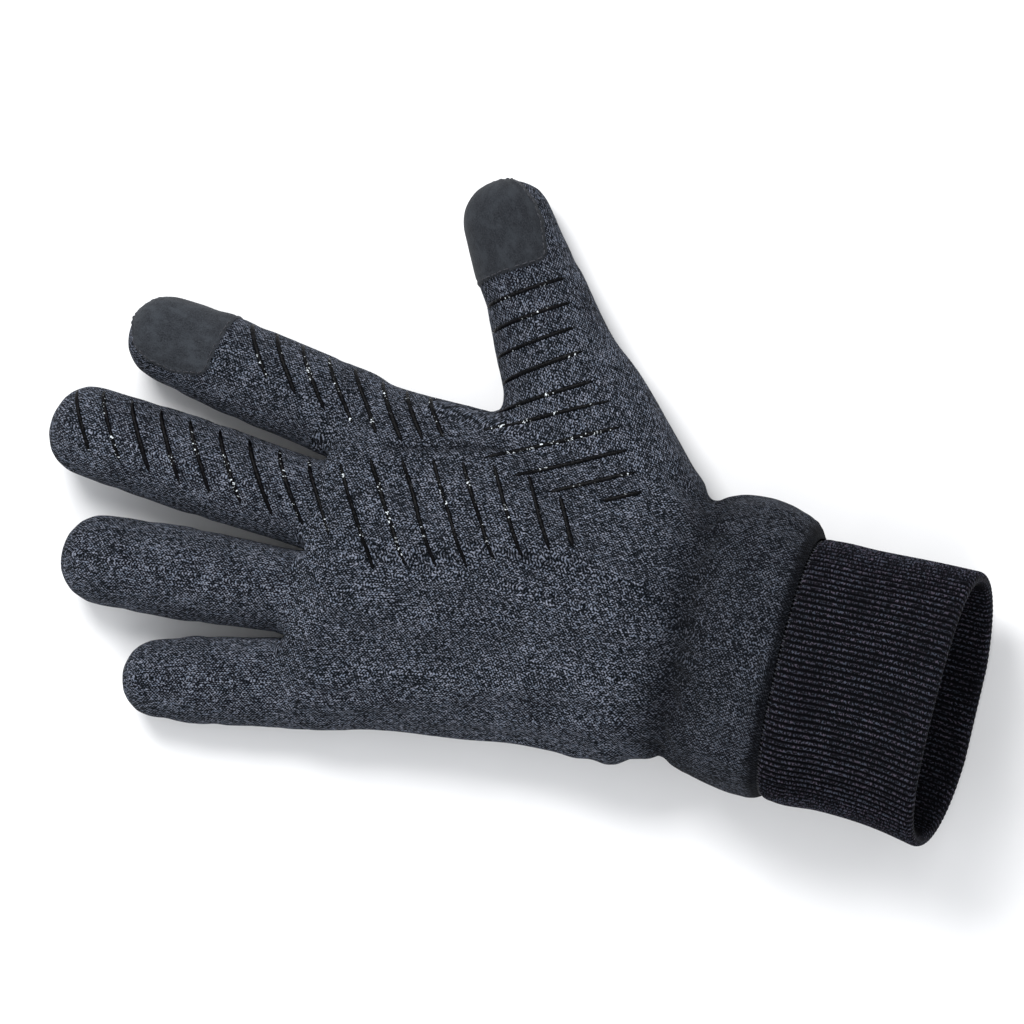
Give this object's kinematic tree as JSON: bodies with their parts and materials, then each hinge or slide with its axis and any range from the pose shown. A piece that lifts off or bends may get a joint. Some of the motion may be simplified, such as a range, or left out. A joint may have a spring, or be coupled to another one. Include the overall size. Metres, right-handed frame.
{
  "type": "touchscreen glove",
  "caption": "Right-hand brushed-knit touchscreen glove with conductive suede thumb and index tips, silicone grip stripes on the palm side and a ribbed double cuff.",
  "frame": {"origin": "on the flat back of the hand, below the middle of the palm", "axes": "+X from the fingertips to the cuff, +Y towards the thumb, +Z out of the palm"},
  "size_m": [0.2647, 0.1638, 0.05],
  "materials": {
    "knit": "heathered charcoal-navy brushed knit, matt",
    "rib": "black rib knit, folded double, matt",
    "suede": "fine conductive microsuede, matt",
    "silicone": "glossy black printed silicone beads",
    "thread": "dark sewing thread",
    "elastic": "covered elastic band"
  },
  "bodies": {
    "hand": {"back_panel": "knit", "grip_stripe_index_root_1": "silicone", "grip_stripe_index_root_2": "silicone", "grip_stripe_index_root_3": "silicone", "grip_stripe_palm_1": "silicone", "grip_stripe_palm_2": "silicone", "grip_stripe_palm_3": "silicone", "grip_stripe_palm_4": "silicone", "grip_stripe_palm_5": "silicone", "grip_stripe_palm_6": "silicone", "grip_stripe_palm_7": "silicone", "grip_stripe_palm_8": "silicone", "grip_stripe_thenar_1": "silicone", "grip_stripe_thenar_2": "silicone", "grip_stripe_thenar_3": "silicone", "grip_stripe_thenar_4": "silicone", "grip_stripe_thumb_base_1": "silicone", "grip_stripe_thumb_base_2": "silicone", "palm_panel": "knit", "thumb_base": "knit", "wrist_elastic": "elastic"},
    "cuff": {"cuff_seam_thread": "thread", "rib_cuff": "rib", "wrist_section": "knit"},
    "index_proximal": {"grip_stripe_index_proximal_1": "silicone", "index_proximal_sleeve": "knit"},
    "index_middle": {"grip_stripe_index_middle_1": "silicone", "index_middle_sleeve": "knit"},
    "index_tip": {"index_tip_sleeve": "knit", "index_touch_patch": "suede"},
    "middle_proximal": {"grip_stripe_middle_proximal_1": "silicone", "grip_stripe_middle_proximal_2": "silicone", "middle_proximal_sleeve": "knit"},
    "middle_middle": {"grip_stripe_middle_middle_1": "silicone", "middle_middle_sleeve": "knit"},
    "middle_tip": {"grip_stripe_middle_tip_1": "silicone", "grip_stripe_middle_tip_2": "silicone", "middle_tip_sleeve": "knit"},
    "ring_proximal": {"ring_proximal_sleeve": "knit"},
    "ring_middle": {"ring_middle_sleeve": "knit"},
    "ring_tip": {"ring_tip_sleeve": "knit"},
    "little_proximal": {"little_proximal_sleeve": "knit"},
    "little_middle": {"little_middle_sleeve": "knit"},
    "little_tip": {"little_tip_sleeve": "knit"},
    "thumb_proximal": {"grip_stripe_thumb_proximal_1": "silicone", "grip_stripe_thumb_proximal_2": "silicone", "thumb_proximal_sleeve": "knit"},
    "thumb_tip": {"thumb_tip_sleeve": "knit", "thumb_touch_patch": "suede"}
  },
  "joints": [
    {"name": "index_knuckle", "type": "hinge", "parent": "hand", "child": "index_proximal", "pos_m": [-0.06052, 0.0296, 0.01476], "axis": [0, 1, 0], "range_deg": [-15, 70], "stiffness_Nm_per_rad": 0.03},
    {"name": "index_middle_bend", "type": "hinge", "parent": "index_proximal", "child": "index_middle", "pos_m": [-0.0793, 0.03247, 0.01414], "axis": [0, 1, 0], "range_deg": [0, 80], "stiffness_Nm_per_rad": 0.015},
    {"name": "index_tip_bend", "type": "hinge", "parent": "index_middle", "child": "index_tip", "pos_m": [-0.09562, 0.03497, 0.01361], "axis": [0, 1, 0], "range_deg": [0, 48], "stiffness_Nm_per_rad": 0.008},
    {"name": "middle_knuckle", "type": "hinge", "parent": "hand", "child": "middle_proximal", "pos_m": [-0.0593, 0.003, 0.01512], "axis": [0, 1, 0], "range_deg": [-15, 70], "stiffness_Nm_per_rad": 0.03},
    {"name": "middle_middle_bend", "type": "hinge", "parent": "middle_proximal", "child": "middle_middle", "pos_m": [-0.08422, 0.005, 0.01466], "axis": [0, 1, 0], "range_deg": [0, 80], "stiffness_Nm_per_rad": 0.015},
    {"name": "middle_tip_bend", "type": "hinge", "parent": "middle_middle", "child": "middle_tip", "pos_m": [-0.10515, 0.00669, 0.01428], "axis": [0, 1, 0], "range_deg": [0, 48], "stiffness_Nm_per_rad": 0.008},
    {"name": "ring_knuckle", "type": "hinge", "parent": "hand", "child": "ring_proximal", "pos_m": [-0.05815, -0.0219, 0.01476], "axis": [0, 1, 0], "range_deg": [-15, 70], "stiffness_Nm_per_rad": 0.03},
    {"name": "ring_middle_bend", "type": "hinge", "parent": "ring_proximal", "child": "ring_middle", "pos_m": [-0.07911, -0.02333, 0.0143], "axis": [0, 1, 0], "range_deg": [0, 80], "stiffness_Nm_per_rad": 0.015},
    {"name": "ring_tip_bend", "type": "hinge", "parent": "ring_middle", "child": "ring_tip", "pos_m": [-0.09806, -0.02462, 0.01388], "axis": [0, 1, 0], "range_deg": [0, 48], "stiffness_Nm_per_rad": 0.008},
    {"name": "little_knuckle", "type": "hinge", "parent": "hand", "child": "little_proximal", "pos_m": [-0.057, -0.0471, 0.01332], "axis": [0, 1, 0], "range_deg": [-15, 70], "stiffness_Nm_per_rad": 0.03},
    {"name": "little_middle_bend", "type": "hinge", "parent": "little_proximal", "child": "little_middle", "pos_m": [-0.06973, -0.04971, 0.01267], "axis": [0, 1, 0], "range_deg": [0, 80], "stiffness_Nm_per_rad": 0.015},
    {"name": "little_tip_bend", "type": "hinge", "parent": "little_middle", "child": "little_tip", "pos_m": [-0.08099, -0.05203, 0.01209], "axis": [0, 1, 0], "range_deg": [0, 48], "stiffness_Nm_per_rad": 0.008},
    {"name": "thumb_base_bend", "type": "hinge", "parent": "hand", "child": "thumb_proximal", "pos_m": [0.0039, 0.0532, 0.01584], "axis": [0.83, 0.5577, 0], "range_deg": [-10, 45], "stiffness_Nm_per_rad": 0.03},
    {"name": "thumb_tip_bend", "type": "hinge", "parent": "thumb_proximal", "child": "thumb_tip", "pos_m": [-0.00949, 0.07312, 0.01542], "axis": [0.83, 0.5577, 0], "range_deg": [0, 60], "stiffness_Nm_per_rad": 0.015},
    {"name": "wrist_bend", "type": "hinge", "parent": "hand", "child": "cuff", "pos_m": [0.057, -0.0061, 0.018], "axis": [0, -1, 0], "range_deg": [-25, 35], "stiffness_Nm_per_rad": 0.05}
  ],
  "couplings": [
    {"joint": "index_tip_bend", "follows": "index_middle_bend", "ratio": 0.6},
    {"joint": "middle_tip_bend", "follows": "middle_middle_bend", "ratio": 0.6},
    {"joint": "ring_tip_bend", "follows": "ring_middle_bend", "ratio": 0.6},
    {"joint": "little_tip_bend", "follows": "little_middle_bend", "ratio": 0.6}
  ]
}
